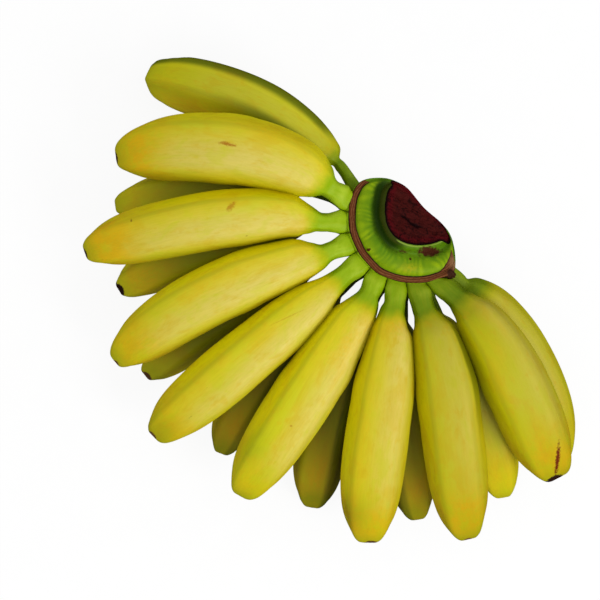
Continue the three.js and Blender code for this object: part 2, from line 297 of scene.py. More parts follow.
def crown_material():
    """Reads: skin, the place in mm; across, mm from the cut's edge, less than 0 on the cut face;
    strand, the fine lines of the scar band; and how much each of the others is there: scar and rind,
    which are the band and its edges, rib, yellow, hollow, dull, strip, rim, patch, pale, knob, groove
    and crease. Of these, hollow and dull are painted shade in the dip beside the cut and on its
    collar, groove is the painted shade in grooves across the cut face, and crease is painted shade
    where neighbouring stalks meet. Strip and crease lie where the stalks run into the crown."""
    n = Nodes("crown_skin")
    place = n.attribute("skin", "Vector")
    across, scar, strand = n.attribute("across"), n.attribute("scar"), n.attribute("strand")
    broad = n.noise(place, 0.12, 3.0, 0.6)
    fine = n.noise(place, 0.7, 5.0, 0.65)
    grain = n.noise(place, 2.4, 4.0, 0.7)
    uneven = n.math("SUBTRACT", fine, 0.5)

    body = n.mix(n.step(n.math("ADD", n.attribute("rib"), n.math("MULTIPLY", broad, 0.6)), 0.1, 1.2),
                 CROWN["green"], CROWN["light"])
    body = n.mix(n.product(n.attribute("yellow"), n.step(fine, 0.3, 0.6)), body, CROWN["yellow"])
    # painted shade: darker green in the dip beside the cut, and a duller collar at its edge
    body = n.mix(n.step(n.math("ADD", n.attribute("hollow_shade"), n.math("MULTIPLY", uneven, 0.3)),
                        0.0, 0.95), body, CROWN["dark"])
    body = n.mix(n.attribute("dull_shade"), body, CROWN["dull_shade"])
    body = n.mix(n.attribute("strip"), body, CROWN["stalk"])
    body = n.mix(n.step(fine, 0.58, 0.75, 0.0, 0.3), body, CROWN["dark"])
    body = n.mix(n.math("MULTIPLY", n.attribute("rim"), 0.9), body, CROWN["rim"])

    patched = n.step(n.math("ADD", n.attribute("patch"), n.math("MULTIPLY", uneven, 1.3)), 0.3, 0.7)
    body = n.mix(patched, body, n.mix(grain, CROWN["scar_dark"], CROWN["fibre"]))
    dry = n.mix(n.step(n.math("ADD", fine, n.math("MULTIPLY", strand, 0.35)), 0.35, 0.85),
                CROWN["scar"], CROWN["scar_light"])
    dry = n.mix(n.step(n.math("ADD", n.attribute("rind"), uneven), 0.25, 0.8), dry,
                CROWN["scar_dark"])
    dry = n.mix(n.product(n.attribute("pale"), n.step(grain, 0.2, 0.7)), dry, CROWN["pale"])
    scarred = n.step(n.math("ADD", scar, n.math("MULTIPLY", uneven, 0.5)), 0.4, 0.6)
    body = n.mix(scarred, body, dry)
    knob = n.step(n.math("ADD", n.attribute("knob"), n.math("MULTIPLY", uneven, 0.5)), 0.35, 0.6)
    body = n.mix(knob, body, n.mix(grain, CROWN["knob"], CROWN["scar_dark"]))

    fibrous = n.noise(place, 0.22, 4.0, 0.65, 2.0)
    flesh = n.mix(n.step(n.math("ADD", across, n.math("MULTIPLY", fibrous, 7.0)), -2.5, 1.0),
                  CROWN["cut_brown"], CROWN["cut"])
    flesh = n.mix(n.step(fibrous, 0.47, 0.66, 0.0, 0.7), flesh, CROWN["cut_dark"])
    # painted shade in the grooves across the cut face
    flesh = n.mix(n.step(n.attribute("shaded_groove"), 0.1, 1.2), flesh, CROWN["cut_dark"])
    flesh = n.mix(n.step(grain, 0.6, 0.8, 0.0, 0.2), flesh, CROWN["fibre"])
    flesh = n.mix(n.step(n.math("ADD", across, n.math("MULTIPLY", fine, 1.2)), -1.7, 0.3), flesh,
                  CROWN["cut_dark"])
    opened = n.step(n.math("ADD", across, n.math("MULTIPLY", uneven, 0.6)), 0.15, -0.1)
    colour = n.mix(opened, body, flesh)

    # painted shade where neighbouring stalks meet
    colour = n.mix(n.attribute("crease_shade"), colour, CROWN["scar_dark"])

    dryness = n.math("MAXIMUM", n.math("MAXIMUM", scarred, patched), n.math("MAXIMUM", opened, knob))
    roughness = n.math("ADD", n.step(broad, 0.2, 0.8, 0.46, 0.58), n.math("MULTIPLY", dryness, 0.2))
    height = n.math("ADD", n.math("MULTIPLY", fine, 0.6), n.product(dryness, grain, 1.6))
    return n.surface(colour, roughness, height, 0.35, 0.0008, Specular_IOR_Level=0.12)


def floor_material():
    n = Nodes("floor")
    place = n.add("TexCoord", {}).outputs["Object"]
    grain = n.noise(place, 60.0, 3.0, 0.6)
    colour = n.mix(n.step(grain, 0.3, 0.7, 0.0, 0.5), srgb("505050"), srgb("4c4c4c"))
    return n.surface(colour, 0.85, grain, 0.02, 0.0004, Specular_IOR_Level=0.2,
                     Emission_Color=(1.0, 1.0, 1.0, 1.0), Emission_Strength=0.91)


# ---------------------------------------------------------------- reading the CAD's rings

MERGE = 2e-5  # metres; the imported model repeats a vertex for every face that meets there
POLE_EDGES = 10  # only a node's two end points have more


def rings_of(node, near):
    """The rings of a lofted CAD node, in order from the end nearest to near, as an array
    (ring, step, xyz) in metres, with the two end points."""
    bm = bmesh.new()
    bm.from_mesh(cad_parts[node].data)
    bmesh.ops.remove_doubles(bm, verts=bm.verts, dist=MERGE)
    bm.verts.index_update()
    places = np.array([v.co[:] for v in bm.verts])
    beside = [sorted(e.other_vert(v).index for e in v.link_edges) for v in bm.verts]
    bm.free()
    poles = [i for i, others in enumerate(beside) if len(others) > POLE_EDGES]
    poles.sort(key=lambda i: np.linalg.norm(places[i] - near))
    first, last = poles

    def in_order(ring):
        members = set(ring)
        order = [min(ring)]
        while len(order) < len(ring):
            order.append(next(v for v in beside[order[-1]] if v in members and v not in order))
        return order

    ring = in_order(beside[first])
    inner = {first}
    rings = [ring]
    while True:
        seen = inner | set(ring)
        after = ring[1:] + ring[:1]
        nearer = [
            next((v for v in beside[a] if v in beside[b] and v not in seen), last)
            for a, b in zip(ring, after)
        ]
        if last in nearer:
            break
        here, shifted = places[ring], places[after]
        if np.linalg.norm(places[nearer] - shifted) < np.linalg.norm(places[nearer] - here):
            nearer = nearer[-1:] + nearer[:-1]
        inner, ring = set(ring), nearer
        rings.append(ring)
    return places[np.array(rings)], places[first], places[last]


def smooth_through(knots, values, at):
    """A smooth curve through values at knots, read at the places at. Straight past both ends."""
    values = np.asarray(values, float)
    values = values.reshape(len(knots), -1)
    slopes = np.gradient(values, knots, axis=0)
    i = np.clip(np.searchsorted(knots, at) - 1, 0, len(knots) - 2)
    step = (knots[i + 1] - knots[i])[:, None]
    t = ((at - knots[i])[:, None] / step).clip(0, 1)
    made = (
        values[i] * (1 + 2 * t) * (1 - t) ** 2
        + values[i + 1] * t * t * (3 - 2 * t)
        + step * slopes[i] * t * (1 - t) ** 2
        - step * slopes[i + 1] * t * t * (1 - t)
    )
    over = (at - np.clip(at, knots[0], knots[-1]))[:, None]
    made += over * np.where(over < 0, slopes[0], slopes[-1])
    return made.squeeze()


def unit(vectors):
    return vectors / np.linalg.norm(vectors, axis=-1, keepdims=True)


def smoothstep(x, start, end):
    t = ((x - start) / (end - start)).clip(0, 1)
    return t * t * (3 - 2 * t)


class Waves:
    """A smooth random field: a sum of plane waves of about one wavelength."""

    def __init__(self, seed, length, count=10):
        rng = np.random.default_rng(seed)
        self.ways = unit(rng.normal(size=(count, 3))) * rng.uniform(0.7, 1.4, (count, 1))
        self.ways *= 2 * math.pi / length
        self.phases = rng.uniform(0, 2 * math.pi, count)

    def at(self, places):
        total = 0.0
        for way, phase in zip(self.ways, self.phases):
            total = total + np.sin(places @ way + phase)
        return total / math.sqrt(len(self.phases) / 2)


# ---------------------------------------------------------------- meshes

UV_MAP = "OFBake"


def skinned(name, rows, start, end, attributes, material):
    """A closed mesh over rows of rings, a point closing each end. Each attribute holds a number
    or a vector for every place on the rows, and its ends take the nearest row's mean."""
    count, around = rows.shape[:2]
    points = np.concatenate(([start], rows.reshape(-1, 3), [end]))
    row = np.arange(count - 1)[:, None] * around + 1
    col = np.arange(around)[None, :]
    after = (col + 1) % around
    quads = np.stack((row + col, row + after, row + around + after, row + around + col), -1)
    quads = quads.reshape(-1, 4)
    low = np.stack((np.zeros(around, int), 1 + after[0], 1 + col[0]), -1)
    top = 1 + (count - 1) * around
    high = np.stack((np.full(around, len(points) - 1), top + col[0], top + after[0]), -1)
    mesh = bpy.data.meshes.new(name)
    mesh.from_pydata(points.tolist(), [], quads.tolist() + low.tolist() + high.tolist())
    if volume(mesh) < 0:
        mesh.flip_normals()
    mesh.shade_smooth()
    unroll(mesh, count, around)
    for key, values in attributes.items():
        values = np.asarray(values, float)
        flat = values.reshape(count * around, -1)
        ends = flat[:around].mean(0, keepdims=True), flat[-around:].mean(0, keepdims=True)
        full = np.concatenate((ends[0], flat, ends[1])).astype(np.float32)
        kind = "FLOAT_VECTOR" if full.shape[1] == 3 else "FLOAT"
        attribute = mesh.attributes.new(key, kind, "POINT")
        attribute.data.foreach_set("vector" if kind == "FLOAT_VECTOR" else "value", full.ravel())
    mesh.materials.append(material)
    piece = bpy.data.objects.new(name, mesh)
    bpy.context.scene.collection.objects.link(piece)
    return piece


def unroll(mesh, count, around):
    """Lays the skin out in a UV map: round it across, and its rings, end to end, up."""
    corner = np.empty(len(mesh.loops), int)
    mesh.loops.foreach_get("vertex_index", corner)
    columns = np.arange(around)
    of_quads = np.repeat(np.tile(columns, count - 1), 4)
    of_ends = np.repeat(np.tile(columns, 2), 3)
    column = np.concatenate((of_quads, of_ends))
    ring, step = np.divmod(corner - 1, around)
    step = np.where((step == 0) & (column == around - 1), around, step)
    step = np.where((ring < 0) | (ring == count), column + 0.5, step)
    places = np.stack((step / around, (ring + 1) / (count + 1)), -1).astype(np.float32)
    mesh.uv_layers.new(name=UV_MAP).data.foreach_set("uv", places.ravel())


def volume(mesh):
    mesh.calc_loop_triangles()
    corners = np.empty(len(mesh.loop_triangles) * 3, int)
    mesh.loop_triangles.foreach_get("vertices", corners)
    places = np.empty(len(mesh.vertices) * 3)
    mesh.vertices.foreach_get("co", places)
    a, b, c = places.reshape(-1, 3)[corners.reshape(-1, 3)].transpose(1, 0, 2)
    return float((a * np.cross(b, c)).sum() / 6)


def normals_of(rows):
    """Outward normals of a grid of rings."""
    along = np.gradient(rows, axis=0)
    round_it = np.roll(rows, -1, axis=1) - np.roll(rows, 1, axis=1)
    normals = unit(np.cross(round_it, along) + 1e-15)
    out = rows - rows.mean(axis=1, keepdims=True)
    middle = slice(len(rows) // 3, 2 * len(rows) // 3)
    return normals * (1 if (normals * out)[middle].sum() > 0 else -1)


# ---------------------------------------------------------------- fingers

FLATNESS = 0.97  # a finger's height over its width
AROUND = 110  # steps round a finger
STEPS = 150  # along it
RIDGE_IN = 0.65  # how much of a ridge's height is within the CAD node's radius
RIDGED = (7.0, 3.0, 1.0)  # sharpness of the ridges along the body; more at the tip and the neck
INTO_CROWN = 2.2  # mm of stalk inside the crown
# The blunt end of a finger: mm back from its end, and share of the end's radius.
TIP = [(1.0, 1.0), (0.6, 0.99), (0.3, 0.965), (0.1, 0.93), (0.0, 0.87), (0.05, 0.78), (0.35, 0.66),
       (0.7, 0.56), (0.9, 0.44), (0.95, 0.32), (0.75, 0.22), (0.5, 0.12)]
TIP_FACE = 8  # of those rings, the ones on the flat end
ROOT_OPENS = (3.0, 8.0)  # mm from the crown, between which neighbouring stalks part
ROOT_OVERLAP = 0.05  # mm that each runs past half way to the next before they part
# Mm that a finger's half width stops short of half way to the next, where it presses on it. Its
# facets and its relief can still pass that: neighbouring skins run up to 1.3 mm into each other.
APART = 0.15
PRESSES = (0.18, 0.02)  # the room beside a finger over its radius, where that starts and is full
ROOT_WIDEST = 1.3  # over the stalk's own radius

# How green and how orange at the tip each finger is, how strong its painted sheen is, and the side
# that painted sheen lies on: degrees from its top, towards the next finger of its row when less than
# 0.
TONES = {
    "upper_finger_01": (1.3, 0.1, 0.2, 14), "upper_finger_02": (-0.1, 0.9, 0.8, -20),
    "upper_finger_03": (-0.1, 1.0, 0.82, -24), "upper_finger_04": (-0.05, 0.6, 0.82, -24),
    "upper_finger_05": (0.0, 0.5, 0.85, -36), "upper_finger_06": (0.05, 0.3, 0.9, -42),
    "upper_finger_07": (-0.1, 0.8, 0.75, -32), "upper_finger_08": (0.3, 0.8, 0.4, -18),
    "upper_finger_09": (0.4, 0.7, 0.5, -48), "lower_finger_07": (0.1, 0.3, 0.4, -30),
    "lower_finger_08": (0.4, 0.3, 0.35, -20),
}
PLAIN_TONE = (0.4, 0.3, 0.0, 0)
# how far round a finger the painted sheen spreads
PAINTED_SHEEN_SPREAD = 37  # degrees
NOISE_APART = 200.0  # mm between two fingers' places in the noise, so that none repeats another

# How dark each finger's body is, from its own darker tone and, most on the lower row, from painted
# shade; how dark its stalk is, how black the scar at its tip, and mm that it covers.
GROUNDS = {
    "upper_finger_01": (0.0, 0.4, 0.2, 0.6), "upper_finger_02": (0.0, 0.0, 0.8, 2.8),
    "upper_finger_03": (0.0, 0.0, 0.9, 2.8), "upper_finger_04": (0.0, 0.05, 0.3, 1.4),
    "upper_finger_05": (0.0, 0.1, 0.4, 1.8), "upper_finger_06": (0.0, 0.25, 0.1, 0.9),
    "upper_finger_07": (0.12, 0.35, 0.6, 2.2), "upper_finger_08": (0.36, 0.6, 0.2, 1.0),
    "upper_finger_09": (0.36, 0.75, 1.1, 4.6), "lower_finger_02": (0.05, 0.5, 1.2, 5.0),
    "lower_finger_03": (0.3, 0.5, 0.7, 3.0), "lower_finger_04": (0.55, 0.6, 0.3, 1.4),
    "lower_finger_05": (0.65, 0.6, 0.2, 0.8), "lower_finger_06": (0.6, 0.6, 0.3, 0.8),
    "lower_finger_07": (0.0, 0.6, 0.2, 0.6), "lower_finger_08": (0.3, 0.4, 0.3, 0.8),
}
PLAIN_GROUND = (0.15, 0.5, 0.3, 0.8)

# Mm that the two shoulders beside each gap of the upper row stand back from their CAD nodes'.
GAPS_BACK = (1.0, 2.3, 3.6, 1.0, 0.8, -1.5, 4.1, 2.7)
LOWER_BACK = (8.0, 8.0, 8.0, 8.0, 8.0, 8.0, 7.0, 0.0)  # and those of each lower finger
SHOULDER_ENDS = {"upper": (26, 17), "lower": (46, 24)}  # mm from the crown, where that fades out
BLUNT = {"upper_finger_01": 0.09}  # how much wider a finger's end is than its CAD node's

# Relief of a finger's skin: wavelength in mm, how much shorter it is taken along it, height in mm.
DENTS = (34, 0.55, 0.16)
PUCKERS = (9, 0.35, 0.035)
FINE_RIBS = (2.6, 0.06, 0.035)
RAGGED = (2.2, 1, 0.16)

# Soft patches: kind, finger, place in plan, half sizes along and across the finger, strength. Blush
# is orange, green is greener skin, dark is painted shade, and scar is the dried rim of a tip. Places
# here, in MARKS and on the crown are in mm, and were worked out from points seen in the photograph.
PATCHES = [
    ("blush", "upper_finger_01", (-64.7, 90.0), (22, 4), 0.8),
    ("blush", "upper_finger_02", (-27.7, 75.2), (16, 4), 0.7),
    ("blush", "upper_finger_02", (-85.4, 68.3), (9, 6), 0.6),
    ("blush", "upper_finger_03", (-97.7, 27.4), (10, 7), 0.6),
    ("blush", "upper_finger_03", (-48.0, 46.0), (7, 3), 0.35),
    ("blush", "upper_finger_04", (-60.0, 4.0), (28, 4), 0.35),
    ("blush", "upper_finger_04", (-86.4, -21.0), (10, 6), 0.4),
    ("blush", "upper_finger_05", (-33.1, -18.7), (14, 3), 0.35),
    ("blush", "upper_finger_06", (6.0, -20.0), (14, 5), 0.6),
    ("blush", "upper_finger_07", (27.9, -12.0), (6, 5), 0.8),
    ("blush", "upper_finger_07", (14.0, -60.0), (30, 3), 0.35),
    ("blush", "upper_finger_08", (60.4, -93.3), (10, 7), 0.6),
    ("blush", "upper_finger_09", (95.5, -66.0), (11, 4), 0.6),
    ("blush", "lower_finger_02", (-85.2, 11.4), (14, 5), 0.9),
    ("blush", "lower_finger_04", (-45.2, -59.1), (14, 4), 0.9),
    ("blush", "lower_finger_05", (-6.2, -80.3), (16, 5), 0.9),
    ("blush", "lower_finger_06", (41.7, -89.7), (12, 5), 0.9),
    ("green", "lower_finger_03", (-84.0, -37.0), (6, 8), 0.4),
    ("green", "lower_finger_04", (-54.6, -70.9), (6, 9), 0.6),
    ("green", "lower_finger_05", (-9.0, -95.8), (6, 9), 0.6),
    ("green", "lower_finger_06", (38.0, -101.4), (6, 6), 0.4),
    ("green", "upper_finger_06", (-36.7, -68.4), (9, 5), 0.4),
    ("green", "upper_finger_08", (42.0, -8.0), (14, 9), 0.25),
    ("green", "upper_finger_09", (54.9, -0.4), (14, 9), 0.5),
    ("green", "upper_finger_09", (58.0, -26.0), (24, 5), 0.35),
    ("scar", "upper_finger_02", (-99.1, 66.3), (1.2, 2.9), 1.3),
    ("scar", "upper_finger_03", (-113.6, 21.5), (1.2, 2.7), 1.3),
    ("scar", "upper_finger_04", (-100.0, -29.3), (1.2, 1.8), 1.2),
    ("scar", "upper_finger_05", (-82.0, -62.2), (1.2, 2.5), 1.2),
    ("scar", "upper_finger_07", (18.5, -112.1), (1.6, 3.0), 1.3),
    ("scar", "upper_finger_08", (63.7, -111.4), (1.3, 2.2), 1.0),
    ("scar", "upper_finger_09", (102.4, -83.0), (2.8, 4.6), 1.5),
    ("scar", "lower_finger_02", (-99.7, 4.8), (2.7, 3.3), 1.4),
    ("scar", "lower_finger_03", (-86.3, -35.6), (1.8, 3.0), 1.2),
    # two patches of painted shade
    ("dark", "upper_finger_07", (6.6, -100.0), (9, 9), 0.5),
    ("dark", "upper_finger_05", (-78.0, -60.0), (7, 8), 0.3),
]
END_BEYOND = 2.0  # mm outwards from a scar's place, to look for the rim nearest to it

# Painted shade on facets that lie in shade, and on the lower row where it lies under the upper one:
# finger, degrees round from its top, mm from the crown, strength.
SHADED_FACETS = [
    ("upper_finger_01", (42, 130), (24, 200), 1.0),
    ("upper_finger_01", (-100, -3), (24, 66), 0.8),
    ("upper_finger_01", (-100, 130), (-20, 20), 0.5),
    ("lower_finger_01", (-180, 180), (-20, 88), 0.45),
    ("lower_finger_02", (-180, 180), (-20, 88), 0.5),
    ("lower_finger_03", (-180, 180), (-20, 92), 0.7),
    ("lower_finger_04", (-180, 180), (-20, 80), 0.5),
    ("lower_finger_04", (-120, -20), (30, 200), 0.6),
    ("lower_finger_05", (-180, 180), (-20, 85), 0.5),
    ("lower_finger_05", (-120, -22), (30, 200), 0.8),
    ("lower_finger_06", (-180, 180), (-20, 85), 0.4),
    ("lower_finger_06", (22, 120), (30, 200), 0.7),
    ("lower_finger_07", (-180, 180), (-20, 75), 0.4),
    ("upper_finger_08", (-110, -52), (22, 60), 0.7),
]
# Bruises: kind, finger, place in plan, degrees its length lies at, half sizes in mm, strength.
MARKS = [
    ("mark_a", "upper_finger_02", (-47.1, 69.4), -12, (4.4, 1.1), 0.8),
    ("mark_a", "upper_finger_03", (-45.6, 41.5), 50, (3.2, 1.5), 0.6),
    ("mark_b", "upper_finger_03", (-91.4, 35.9), 80, (0.8, 0.5), 0.7),
    ("mark_a", "upper_finger_05", (-20.0, -8.0), 25, (9.0, 0.35), 0.3),
    ("mark_b", "upper_finger_09", (103.3, -73.6), 91, (9.4, 1.1), 1.1),
    ("mark_a", "upper_finger_06", (-18.6, -57.1), 20, (0.7, 0.6), 0.6),
]


class Finger:
    """A finger's spine, frames and radii, read from its CAD rings. Lengths in metres."""

    def __init__(self, node, root):
        self.node = node
        rings, self.start, self.end = rings_of(node, root)
        self.centres = rings.mean(axis=1)
        around = rings - self.centres[:, None]
        normals = np.cross(around, np.roll(around, -1, axis=1)).sum(axis=1)
        ahead = np.gradient(self.centres, axis=0)
        self.along = unit(normals * np.sign((normals * ahead).sum(-1, keepdims=True)))
        across = unit(np.cross(self.along, UP))
        above = np.cross(across, self.along)
        up = (around * above[:, None]).sum(-1) / FLATNESS
        side = (around * across[:, None]).sum(-1)
        self.radius = np.hypot(up, side).max(axis=1)
        body = len(rings) // 2
        ridge = np.hypot(up, side)[body].argmax()
        self.ridge_from = math.atan2(side[body, ridge], up[body, ridge])
        hops = np.linalg.norm(np.diff(self.centres, axis=0), axis=1)
        self.distance = np.concatenate(([0.0], np.cumsum(hops)))
        self.length = self.distance[-1]


def section(turn, ridge_from, sharp):
    """Radius of the five-sided section over its ridge's radius, and how near a ridge it is. Its
    facets are flat; sharp runs from 2, a round section, to about 10."""
    fifth = 2 * math.pi / 5
    corner = sum(max(math.cos((k + 0.5) * fifth), 0) ** sharp for k in range(5)) ** (-1 / sharp)
    facing = [np.cos(turn - ridge_from - (k + 0.5) * fifth).clip(0) for k in range(5)]
    radius = sum(facet**sharp for facet in facing) ** (-1 / sharp)
    near = (0.5 + 0.5 * np.cos(5 * (turn - ridge_from))) ** 9
    return radius / corner**RIDGE_IN, near


def room_beside(finger, other, distance):
    """Half the way across to another finger of the row, at each distance along both, and the side
    that it lies on."""
    here = smooth_through(finger.distance, finger.centres, distance)
    there = smooth_through(other.distance, other.centres, distance)
    side = np.sign((there - here)[0] @ np.cross(finger.along[0], UP))
    return side, np.linalg.norm(there - here, axis=1) / 2


def finger_rows(finger, seed, row, beside, scar_width, blunt, palest):
    """A finger's skin as rings, its normals and what the peel reads there. beside holds each finger
    next to it in its row, with the mm that its shoulder on that side stands back."""
    rng = np.random.default_rng(seed)
    length = finger.length
    even = np.linspace(0, 1, STEPS)
    body = (even - 0.055 * np.sin(2 * math.pi * even)) * (length - TIP[0][0] * MM)
    inside = np.linspace(-INTO_CROWN, -0.4, 4) * MM
    tip = length - np.array([back for back, _ in TIP]) * MM
    distance = np.concatenate((inside, body, tip[1:]))
    shrink = np.ones(len(distance))
    shrink[-len(TIP) :] = [share for _, share in TIP]

    centre = smooth_through(finger.distance, finger.centres, distance)
    along = unit(smooth_through(finger.distance, finger.along, distance))
    stem, tip_way = distance / MM, (length - distance) / MM
    shoulder = smoothstep(stem, 8, 12) * smoothstep(stem, *SHOULDER_ENDS[row])
    blunter = 1 + blunt * smoothstep(tip_way, 11, 2)

    def radius_with(back):
        """The finger's radius, with its shoulder that many mm further from the crown."""
        at = np.clip(distance - back * shoulder * MM, 0, length)
        wide = smooth_through(finger.distance, finger.radius, at)
        return np.maximum(wide, finger.radius.min() * 0.9) * blunter

    radius = radius_with(np.mean([back for _, back in beside]))

    across = unit(np.cross(along, UP))
    above = np.cross(across, along)
    turn = np.arange(AROUND) * 2 * math.pi / AROUND
    twist = np.radians(rng.uniform(-9, 9)) * smoothstep(distance, 0.2 * length, length)
    grid = turn[None, :] + 0 * distance[:, None]

    # ridges stand out most near the neck and the tip, and not at all where the stalk leaves
    sharp = RIDGED[0] + RIDGED[1] * smoothstep(tip_way, 35, 8) + RIDGED[2] * smoothstep(stem, 50, 22)
    sharp = 2 + (sharp - 2) * smoothstep(stem, 2, 14) * shrink**2
    round_, near = section(grid - twist[:, None], finger.ridge_from, sharp[:, None])
    # at the crown a stalk is squarer, and as wide as the room it has there
    square = smoothstep(stem, 7.5, 0.5)[:, None]
    boxy = (np.abs(np.cos(grid)) ** 3.2 + np.abs(np.sin(grid)) ** 3.2) ** (-1 / 3.2)
    round_ = round_ * (1 - square) + boxy * square
    closed = 1 - ((stem - ROOT_OPENS[0]) / (ROOT_OPENS[1] - ROOT_OPENS[0])).clip(0, 1) ** 0.7
    halves = {side: radius * shrink for side in (-1, 1)}
    pressed = smoothstep(stem, 17, 23) * smoothstep(stem, 90, 40)
    for other, back in beside:
        side, room = room_beside(finger, other, np.maximum(distance, 0))
        apart = room / radius - 1
        swelling = (room - APART * MM - radius).clip(0) * smoothstep(apart, *PRESSES) * pressed
        room = np.minimum(room + ROOT_OVERLAP * MM, radius * ROOT_WIDEST)
        own = radius_with(back) + swelling
        halves[side] = own * shrink * (1 - closed) + room * closed
    wide = np.where(np.sin(grid) > 0, halves[1][:, None], halves[-1][:, None]) * round_
    high = (radius * shrink)[:, None] * round_ * FLATNESS
    rows = (
        centre[:, None]
        + above[:, None] * (high * np.cos(grid))[..., None]
        + across[:, None] * (wide * np.sin(grid))[..., None]
    )

    normals = normals_of(rows)
    skin = np.stack((radius[:, None] * np.cos(grid), radius[:, None] * np.sin(grid),
                     distance[:, None] + 0 * grid), -1) / MM
    rows += normals * (finger_relief(seed, skin, stem, tip_way, shrink) * MM)[..., None]
    facts = finger_facts(rows, grid, stem, tip_way, scar_width, palest)
    facts.update(skin=skin + (0, 0, NOISE_APART * (seed % 97)), ridge=near)
    return rows, normals, facts


def finger_relief(seed, skin, stem, tip_way, shrink):
    """Mm out from the skin: dents, then ribs at the neck and a ragged scar at the tip."""

    def waves(step, length, shorter, height):
        return Waves(seed + step, length).at(skin * (1, 1, shorter)) * height

    lasting = (smoothstep(stem, 6, 22) * smoothstep(tip_way, 0, 8))[:, None]
    relief = waves(0, *DENTS) * lasting
    relief += waves(1, *PUCKERS) * lasting
    ends = smoothstep(stem, 26, 10) + 0.6 * smoothstep(tip_way, 14, 4)
    relief += waves(2, *FINE_RIBS) * ends[:, None]
    dish = (shrink < 0.8)[:, None]
    relief += waves(3, *RAGGED) * dish * smoothstep(shrink, 0.05, 0.4)[:, None]
    return relief


def finger_facts(rows, grid, stem, tip_way, scar_width, palest):
    """What the peel reads, apart from the finger's own tones, patches and bruises."""
    hops = np.linalg.norm(np.diff(rows, axis=0), axis=-1).mean(axis=1) / MM
    walked = np.concatenate(([0.0], np.cumsum(hops)))
    back = walked[-TIP_FACE] - walked
    scar = smoothstep(back, scar_width, 0.3 * scar_width)[:, None] + 0 * grid
    # painted sheen: a paler band round the side that faces the key light
    off = np.abs((np.degrees(grid) - palest + 180) % 360 - 180)
    painted_sheen = np.exp(-((off / PAINTED_SHEEN_SPREAD) ** 2)) * smoothstep(stem, 15, 24)[:, None]
    painted_sheen = painted_sheen * ((1 - 0.35 * smoothstep(stem, 50, 95)) * smoothstep(tip_way, 14, 42))[:, None]
    # painted light on a finger's two sides, more on the side away from the next finger of its row
    degrees = (np.degrees(grid) + 180) % 360 - 180
    painted_side_light = 0.35 * smoothstep(degrees, -25, -60) + 0.6 * smoothstep(degrees, 25, 62)
    painted_side_light = painted_side_light * smoothstep(degrees, 130, 110) * smoothstep(degrees, -130, -110)
    return dict(stem=stem[:, None] + 0 * grid, tip=tip_way[:, None] + 0 * grid,
                degrees=degrees, painted_side_light=painted_side_light, scar=scar, painted_sheen=painted_sheen)


def painted(kind, node, rows, normals, faces_down=0.3):
    """How much of one kind of soft patch there is at each place, less where the skin faces down."""
    total = np.zeros(rows.shape[:2])
    plan = rows[..., :2] / MM
    for which, finger, spot, (far, wide), strength in PATCHES:
        if (which, finger) != (kind, node):
            continue
        middle = rows[: -len(TIP)].mean(axis=1)[:, :2] / MM
        nearest = np.linalg.norm(middle - spot, axis=1).argmin()
        way = unit(np.gradient(middle, axis=0)[nearest])
        if kind == "scar":  # on the rim of the finger's end
            beyond = spot + END_BEYOND * way
            spot = plan.reshape(-1, 2)[np.linalg.norm(plan - beyond, axis=-1).argmin()]
        off = plan - spot
        lengthwise = off @ way
        sideways = off @ np.array((-way[1], way[0]))
        total += strength * np.exp(-((lengthwise / far) ** 2) - (sideways / wide) ** 2)
    return total * smoothstep(normals[..., 2], -faces_down, 0.6 - faces_down)


def darkened(node, degrees, stem):
    """How much painted shade from its shaded facets there is at each place on a finger."""
    total = np.zeros(stem.shape)
    for finger, (low, high), (near, far), strength in SHADED_FACETS:
        if finger == node:
            facet = smoothstep(degrees, low - 7, low + 7) * smoothstep(degrees, high + 7, high - 7)
            length = smoothstep(stem, near - 8, near + 8) * smoothstep(stem, far + 20, far - 20)
            total += strength * facet * length
    return total


def marked(kind, node, rows, normals):
    """How far along and across from a bruise each place is, in its half sizes, and its strength."""
    made = np.zeros(rows.shape)
    for which, finger, spot, heading, (far, wide), strength in MARKS:
        if (which, finger) != (kind, node):
            continue
        way = np.array((math.cos(math.radians(heading)), math.sin(math.radians(heading))))
        off = rows[..., :2] / MM - spot
        made[..., 0] = off @ way / far
        made[..., 1] = off @ np.array((-way[1], way[0])) / wide
        made[..., 2] = strength * smoothstep(normals[..., 2], 0.0, 0.25)
    return made


def build_fingers(fingers_by_row, material):
    pieces = []
    for fingers in fingers_by_row:
        for i, finger in enumerate(fingers):
            row = "upper" if finger.node in UPPER else "lower"
            beside = []
            for k in (i - 1, i + 1):
                if 0 <= k < len(fingers):
                    back = GAPS_BACK[min(i, k)] if row == "upper" else LOWER_BACK[i]
                    beside.append((fingers[k], back))
            seed = 100 * len(pieces) + 7
            *ground, scar_width = GROUNDS.get(finger.node, PLAIN_GROUND)
            blunt = BLUNT.get(finger.node, 0.0)
            *tone, palest = TONES.get(finger.node, PLAIN_TONE)
            rows, normals, facts = finger_rows(finger, seed, row, beside, scar_width, blunt, palest)
            # painted shade from the dark patches and the shaded facets; the painted side light gives
            # way to it
            painted_shade = painted("dark", finger.node, rows, normals)
            painted_shade = painted_shade + darkened(finger.node, facts.pop("degrees"), facts["stem"])
            facts["painted_shade"] = painted_shade.clip(0, 1)
            facts["painted_side_light"] = facts["painted_side_light"] * (1 - facts["painted_shade"])
            facts["ground"] = np.broadcast_to(ground, rows.shape)
            facts["tone"] = np.broadcast_to(tone, rows.shape)
            ends = painted("scar", finger.node, rows, normals, 0.9)
            facts["scar"] = np.maximum(facts["scar"], ends)
            for kind in ("blush", "green"):
                facts[kind] = painted(kind, finger.node, rows, normals)
            for kind in ("mark_a", "mark_b"):
                facts[kind] = marked(kind, finger.node, rows, normals)
            rows = held_in_box(rows)
            piece = skinned(finger.node + "_skin", rows, rows[0].mean(0),
                            rows[-1].mean(0) + finger.along[-1] * 0.1 * MM, facts, material)
            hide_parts(finger.node)
            pieces.append(piece)
    return pieces


